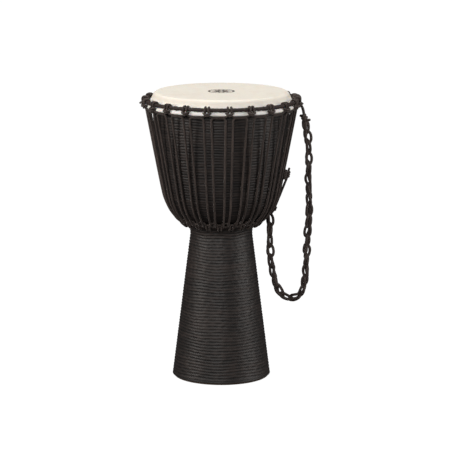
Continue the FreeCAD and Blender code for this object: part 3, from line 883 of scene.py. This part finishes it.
class DRUM_OT_stage(bpy.types.Operator):
    """Put up the pale floor, the soft lights and the camera"""
    bl_idname = "drum.stage"
    bl_label = "Stage"

    def execute(self, context):
        scene = context.scene
        scene.view_settings.view_transform = "Standard"
        world = bpy.data.worlds.new("studio")
        world.use_nodes = True
        nodes, links = world.node_tree.nodes, world.node_tree.links
        nodes.clear()
        path = nodes.new("ShaderNodeLightPath")
        mix = nodes.new("ShaderNodeMixShader")
        output = nodes.new("ShaderNodeOutputWorld")
        links.new(path.outputs["Is Camera Ray"], mix.inputs[0])
        # first what lights the drum, then what is seen behind it
        for socket, tint, strength in ((1, (1.0, 0.985, 0.965, 1), 0.08), (2, (1, 1, 1, 1), 1.02)):
            sky = nodes.new("ShaderNodeBackground")
            sky.inputs["Color"].default_value = tint
            sky.inputs["Strength"].default_value = strength
            links.new(sky.outputs[0], mix.inputs[socket])
        links.new(mix.outputs[0], output.inputs["Surface"])
        scene.world = world

        ground = bmesh.new()
        bmesh.ops.create_grid(ground, x_segments=8, y_segments=8, size=6.0)
        mesh = bpy.data.meshes.new("floor")
        ground.to_mesh(mesh)
        ground.free()
        floor = bpy.data.objects.new("floor", mesh)
        scene.collection.objects.link(floor)
        paint = Paint("pale floor", 0.9, 0.1)
        paint.feed("Base Color", (0.05, 0.05, 0.05))
        paint.feed("Emission Color", (1.0, 1.0, 1.0))
        paint.feed("Emission Strength", 1.0)
        mesh.materials.append(paint.material)
        floor.visible_glossy = False
        floor.visible_diffuse = False

        for lamp in LAMPS:
            self.lamp(*lamp)

        camera = bpy.data.cameras.new("camera")
        camera.lens = CAMERA_LENS
        camera.sensor_width = 36.0
        camera.shift_x = CAMERA_SHIFT
        camera.clip_end = 50.0
        holder = bpy.data.objects.new("camera", camera)
        holder.location = CAMERA_PLACE
        holder.rotation_euler = (math.radians(CAMERA_TILT), 0.0, 0.0)
        scene.collection.objects.link(holder)
        scene.camera = holder
        return {"FINISHED"}

    def lamp(self, name, place, aim, size, power, colour):
        light = bpy.data.lights.new(name, "AREA")
        light.shape = "DISK"
        light.size = size
        light.energy = power
        light.color = colour
        holder = bpy.data.objects.new(name, light)
        holder.location = place
        way = Vector((0, 0, aim)) - Vector(place)
        holder.rotation_euler = way.to_track_quat("-Z", "Y").to_euler()
        bpy.context.scene.collection.objects.link(holder)


class DRUM_OT_shell(bpy.types.Operator):
    """Carve the wooden shell: gouged ribs outside, plain wood inside"""
    bl_idname = "drum.shell"
    bl_label = "Shell"

    def execute(self, context):
        sizes = context.scene.drum_sizes
        loop = outline("shell")[0]
        bottom = int(np.argmax(loop[:, 0] * (loop[:, 1] < 0.006)))
        loop = np.roll(loop, -bottom, axis=0)
        if loop[1][0] < loop[0][0] - 1e-4:
            loop = np.concatenate([loop[:1], loop[1:][::-1]])
        crest = int(np.argmax(loop[:, 1]))
        outside = loop[:crest + 1]
        inside = np.concatenate([loop[crest:], loop[:1]])
        rows = carved_profile(outside, (sizes.rib_pitch_foot, sizes.rib_pitch_bowl), WAIST)
        places = np.array([row[0] for row in rows])
        outer = at_lengths(outside, places)
        far = lengths_along(inside)
        corners = [int(np.argmin(np.abs(inside - c).sum(axis=1))) for c in self.corners(inside)]
        inner_rows, columns = 56, 204
        inner_places = np.unique(np.concatenate([
            np.linspace(0, far[-1], inner_rows), far[corners]]))
        inner = at_lengths(inside, inner_places[:-1])
        mesh = turned(np.concatenate([outer, inner]), columns, True)
        verts = vertices_of(mesh)
        angle, radius = round_axis(verts)
        height = verts[:, 2]
        rng = np.random.default_rng(5)
        index = rows_of(mesh)
        is_out = index < len(rows)
        row = np.minimum(index, len(rows) - 1)
        steps = np.gradient(outer, axis=0)
        steps /= np.linalg.norm(steps, axis=1)[:, None]
        ribs = np.array([row[1] for row in rows])
        part = np.array([row[2] for row in rows])
        # each rib's line wanders with its neighbours and a little by itself, its depth in strokes
        slow = [round_noise(rng, angle, 2, 7) for _ in range(4)]
        wander = np.zeros(len(verts))
        depth = np.zeros(len(verts))
        for rib in range(int(ribs.max()) + 2):
            here = is_out & (ribs[row] == rib)
            own = round_noise(rng, angle, 6, 26)
            deep = round_noise(rng, angle, 10, 40)
            share = [math.cos(rib * 0.21 + 1.7 * i) for i in range(4)]
            line = sum(s * w for s, w in zip(slow, share))
            wander[here] = line[here] * 0.70 + own[here] * 0.18
            depth[here] = 0.72 + 0.28 * np.clip(deep[here], -1, 1)
        across = np.where(is_out, part[row], 0.0)
        scallop = 4 * across * (1 - across)
        # the gouges fade out at the foot's edge and under the skin
        fade = ramp(height, 0.005, 0.008) * ramp(height, 0.600, -0.010)
        cut = sizes.rib_depth * scallop * depth * fade * is_out
        shift = sizes.rib_wander * wander * fade * is_out
        step = steps[row]
        new_radius = radius + np.where(is_out, step[:, 0] * shift - step[:, 1] * cut, 0.0)
        new_height = height + np.where(is_out, step[:, 1] * shift + step[:, 0] * cut, 0.0)
        # inside, only the marks of a rough tool
        tool_depth = 0.0005
        rough = round_noise(rng, angle, 8, 30) * np.sin(height * 260.0)
        inner_fade = ramp(height, 0.02, 0.02) * ramp(height, 0.58, -0.02)
        new_radius += np.where(is_out, 0.0, tool_depth * rough * inner_fade)
        set_round(mesh, angle, new_radius, new_height)
        edge = 1.0 - scallop * np.clip(depth, 0.3, 1.0)
        set_attribute(mesh, "rib_edge", np.where(is_out, edge, 0.5))
        set_attribute(mesh, "bare", np.where(is_out, 0.0, 1.0))
        add_piece("carved_shell", mesh, "drum", "wood", "shell_wood", "shell")
        return {"FINISHED"}

    def corners(self, line):
        """Places where a section turns sharply."""
        back = line[1:-1] - line[:-2]
        ahead = line[2:] - line[1:-1]
        turn = np.abs(back[:, 0] * ahead[:, 1] - back[:, 1] * ahead[:, 0])
        turn /= np.maximum(np.linalg.norm(back, axis=1) * np.linalg.norm(ahead, axis=1), 1e-12)
        return line[1:-1][turn > 0.3]


class DRUM_OT_head(bpy.types.Operator):
    """Stretch the skin: flat face, soft ridge, pleated collar and its fold round the flesh ring"""
    bl_idname = "drum.head"
    bl_label = "Head"
    flat_radius = 0.13
    flat_step = 0.012

    def execute(self, context):
        line = outline("drum_head")[0]
        line = np.concatenate([[(0.0, line[0][1])], line, [(0.0, line[-1][1])]])
        step, columns = 0.0022, 220
        mesh = turned(self.refined(line, step), columns, False)
        verts = vertices_of(mesh)
        angle, radius = round_axis(verts)
        x, y, z = verts.T
        rng = np.random.default_rng(8)
        # the collar is pulled in at each hitch and pleated between, above the fold's edge
        collar = ramp(z, z.max() - 0.003, -0.012) * ramp(radius, 0.138, 0.006)
        pull = -0.5 + 0.5 * np.cos(BAYS * (angle - math.radians(FIRST_HITCH)))
        pleats = round_noise(rng, angle, 18, 60)
        swell = collar * (0.00018 * pull + 0.00022 * pleats) * ramp(z, 0.588, 0.004)
        # the face has slow waves that end before its edge
        face = ramp(radius, 0.130, -0.03)
        waves = 0.00012 * np.sin(x * 31 + 1.0) * np.sin(y * 24 + 0.3) * face
        scale = 1 + swell / np.maximum(radius, 1e-6)
        set_vertices(mesh, np.stack([x * scale, y * scale, z + waves], axis=1))
        add_piece("skin_head", mesh, "drum", "skin", "skin", "drum_head")
        return {"FINISHED"}

    def refined(self, line, step):
        """The section with long runs divided, from the axis over the top and round to the axis."""
        points = [line[0]]
        for start, end in zip(line[:-1], line[1:]):
            long = np.linalg.norm(end - start)
            wide = step if min(start[0], end[0]) > self.flat_radius else self.flat_step
            pieces = max(1, int(math.ceil(long / wide)))
            points += [start + (end - start) * (i + 1) / pieces for i in range(pieces)]
        return np.array(points)


class DRUM_OT_rings(bpy.types.Operator):
    """Wind the two rings with tape over their steel rods"""
    bl_idname = "drum.rings"
    bl_label = "Rings"

    def execute(self, context):
        for node in ("flesh_ring", "crown_ring", "bottom_ring"):
            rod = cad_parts[node]
            rod.data.materials.clear()
            rod.data.materials.append(paint_of("steel"))
        self.wind("crown_tape_winding", "crown_ring_tape", 3)
        self.wind("bottom_tape_winding", "bottom_ring_tape", 4)
        return {"FINISHED"}

    def wind(self, name, node, seed):
        """Tape laid on in slanting turns, each edge standing over the turn before."""
        sizes = bpy.context.scene.drum_sizes
        radius, height, taped = ring_of(node)
        rng = np.random.default_rng(seed)
        turns = int(round(2 * math.pi * radius / sizes.tape_pitch))
        section, columns = 14, turns * 6
        profile = [(radius + taped * math.cos(a), height + taped * math.sin(a))
                   for a in np.arange(section) * 2 * math.pi / section]
        mesh = turned(profile, columns, True)
        verts = vertices_of(mesh)
        angle, far = round_axis(verts)
        out = far - radius
        up = verts[:, 2] - height
        around = np.arctan2(up, out)
        jitter = 0.18 * round_noise(rng, angle, 5, 40)
        lap = (angle / (2 * math.pi) * turns + around / (2 * math.pi) + jitter) % 1.0
        swell = sizes.tape_lap * (lap ** 1.5) + 0.00022 * round_noise(rng, angle, 20, 90)
        scale = 1 + swell / taped
        set_round(mesh, angle, radius + out * scale, height + up * scale)
        set_attribute(mesh, "lap", lap)
        add_piece(name, mesh, "drum", "tape", "tape", node)


class DRUM_OT_ropes(bpy.types.Operator):
    """Tie the loops of both rings and lace them together"""
    bl_idname = "drum.ropes"
    bl_label = "Ropes"

    def execute(self, context):
        first, between = FIRST_HITCH, FIRST_HITCH + BAY / 2
        for name, half, start, rope, node, stray in (
                ("crown_loop_rope", crown_half(), first, LOOP_ROPE, "crown_loops", 0.0),
                ("bottom_loop_rope", base_half(), between, LOOP_ROPE, "bottom_loops", 0.0),
                ("lacing_rope", lacing_half(), first, ROPE, "lacing", 0.5)):
            line = follow(round_route(half, start, stray), True, 5)
            add_rope(name, [line], rope / 2, "drum", node, sides=10, closed=True)
        crown = [hitch_bar(FIRST_HITCH + i * BAY, CROWN, *bar)
                 for i in range(BAYS) for bar in CROWN_BARS]
        base = [hitch_bar(FIRST_HITCH + (i + 0.5) * BAY, BASE, *BASE_BAR) for i in range(BAYS)]
        for name, bars in (("crown_hitch_bars", crown), ("bottom_hitch_bars", base)):
            lines = [follow(bar, False, 4) for bar in bars]
            add_rope(name, lines, LOOP_ROPE / 2, "drum", sides=10)
        return {"FINISHED"}


class DRUM_OT_strap(bpy.types.Operator):
    """Tie the strap: hitch, knot, looped chain and foot knot, and the lacing's tie-off"""
    bl_idname = "drum.strap"
    bl_label = "Strap"

    def execute(self, context):
        sizes = context.scene.drum_sizes
        self.hitch()
        thick = STRAP_ROPE / 2
        foot = follow(coil_route(FOOT_KNOT, FOOT_WAY, ROPE * 0.60, ROPE * 1.02, 2.4), False)
        tail = follow([FOOT_KNOT, FOOT_KNOT - FOOT_WAY * 0.006,
                       np.array(CHAIN_ROUTE[-1]) + FOOT_TAIL], False)
        add_rope("foot_knot_coil", [foot, tail], PULL_THICK, "drum", "strap_foot_knot")
        lead_line = follow(LEAD_ROUTE + [tuple(STRAP_KNOT + KNOT_WAY * 0.004)], False, 12)
        lead = add_rope("strap_lead_rope", [lead_line], thick, "strap", "strap_lead")
        coil = coil_route(STRAP_KNOT, KNOT_WAY, ROPE, STRAP_ROPE, 2.0, 2.2)
        first, last = STRAP_KNOT + KNOT_ENDS
        knot_line = follow([first] + coil + [last], False)
        knot = add_rope("strap_knot_turns", [knot_line], thick, "strap", "strap_knot")
        line = evenly(follow(CHAIN_ROUTE, False, 24), 0.001)
        strand = follow(chain_strand(line, sizes.stitch, CHAIN_HALF_WIDTH), False, 5)
        chain = add_rope("strap_chain_rope", [strand], thick, "strap", "strap_chain")
        self.tie_off()
        return {"FINISHED"}

    def hitch(self):
        radius, height, taped = CROWN
        reach = taped + GAP + ROPE / 2
        wide = spread(0.0026, radius)
        half = [(radius - reach, height - ROPE / 2), (radius - reach, height + reach),
                (radius + reach, height + reach), (radius + reach, height - reach)]
        route = ([at(STRAP_HITCH_ANGLE + wide, *p) for p in half]
                 + [at(STRAP_HITCH_ANGLE - wide, *p) for p in reversed(half)])
        add_rope("strap_hitch_rope", [follow(route, True)], STRAP_ROPE / 2, "drum",
                 "strap_hitch", closed=True)

    def tie_off(self):
        low = OUTSIDE.beside(WAIST + LACE_RISES[-1], ROPE)
        share = (TIE_OFF_HEIGHT - low[1]) / (LACE_TOP[1] - low[1])
        along = np.array((LACE_TOP[0] - low[0], LACE_TOP[1] - low[1]))
        along /= np.linalg.norm(along)
        outward = np.array((along[1], -along[0]))
        radius = low[0] + share * (LACE_TOP[0] - low[0])
        heart = np.array((radius, TIE_OFF_HEIGHT))
        middle = FIRST_HITCH + TIE_OFF_HITCH * BAY
        # four wraps round the pair of verticals, each open at the back
        wide = radius * math.radians(TIE_OFF_SPREAD) + ROPE
        shape = [(1.0, -0.2), (1.0, 0.75), (0.70, 1.05)]
        shape = [(-a, b) for a, b in shape] + shape[::-1]
        wraps = []
        for k in range(4):
            place = heart + along * (k - 1.5) * ROPE * 1.03
            wraps.append(follow([at(middle + spread(a * wide, radius),
                                    *(place + outward * b * ROPE)) for a, b in shape], False, 6))
        # a coil in front of them, with a stub that stands up out of it
        angle = middle + TIE_OFF_SPREAD * 0.8
        centre = np.array(at(angle, *(heart + outward * ROPE * 1.8)))
        way = np.array(at(angle, along[0], along[1]))
        coil = follow(coil_route(centre, way, ROPE * 0.62, ROPE, 3.0), False)
        below = centre - way * ROPE
        stub = follow([below, centre, centre + way * 0.008,
                       centre + way * 0.013 + np.array(at(angle, 0.0006, 0))], False)
        add_rope("tie_off_turns", wraps + [coil, stub], ROPE * 0.53, "drum", "tie_off_knot")
        pull = follow([below, (below + FOOT_KNOT) / 2, FOOT_KNOT], False)
        add_rope("pull_rope_run", [pull], PULL_THICK, "drum", "pull_rope")


class DRUM_PT_panel(bpy.types.Panel):
    """Sizes, finishes and the steps that build the drum"""
    bl_idname = "DRUM_PT_panel"
    bl_label = "Goblet drum"
    bl_space_type = "VIEW_3D"
    bl_region_type = "UI"
    bl_category = "Drum"

    def draw(self, context):
        for group in (context.scene.drum_sizes, context.scene.drum_finishes):
            for name in group.__annotations__:
                self.layout.prop(group, name)
        for step in STEPS:
            self.layout.operator(step.bl_idname)


STEPS = (DRUM_OT_stage, DRUM_OT_strap, DRUM_OT_ropes, DRUM_OT_shell, DRUM_OT_head, DRUM_OT_rings)
CLASSES = (DrumSizes, DrumFinishes) + STEPS + (DRUM_PT_panel,)


def register():
    for item in CLASSES:
        bpy.utils.register_class(item)
    bpy.types.Scene.drum_sizes = bpy.props.PointerProperty(type=DrumSizes)
    bpy.types.Scene.drum_finishes = bpy.props.PointerProperty(type=DrumFinishes)


def unregister():
    del bpy.types.Scene.drum_finishes
    del bpy.types.Scene.drum_sizes
    for item in reversed(CLASSES):
        bpy.utils.unregister_class(item)


def main():
    register()
    bpy.ops.drum.stage()
    bpy.ops.drum.strap()
    bpy.ops.drum.ropes()
    bpy.ops.drum.shell()
    bpy.ops.drum.head()
    bpy.ops.drum.rings()


if __name__ == "__main__":
    main()
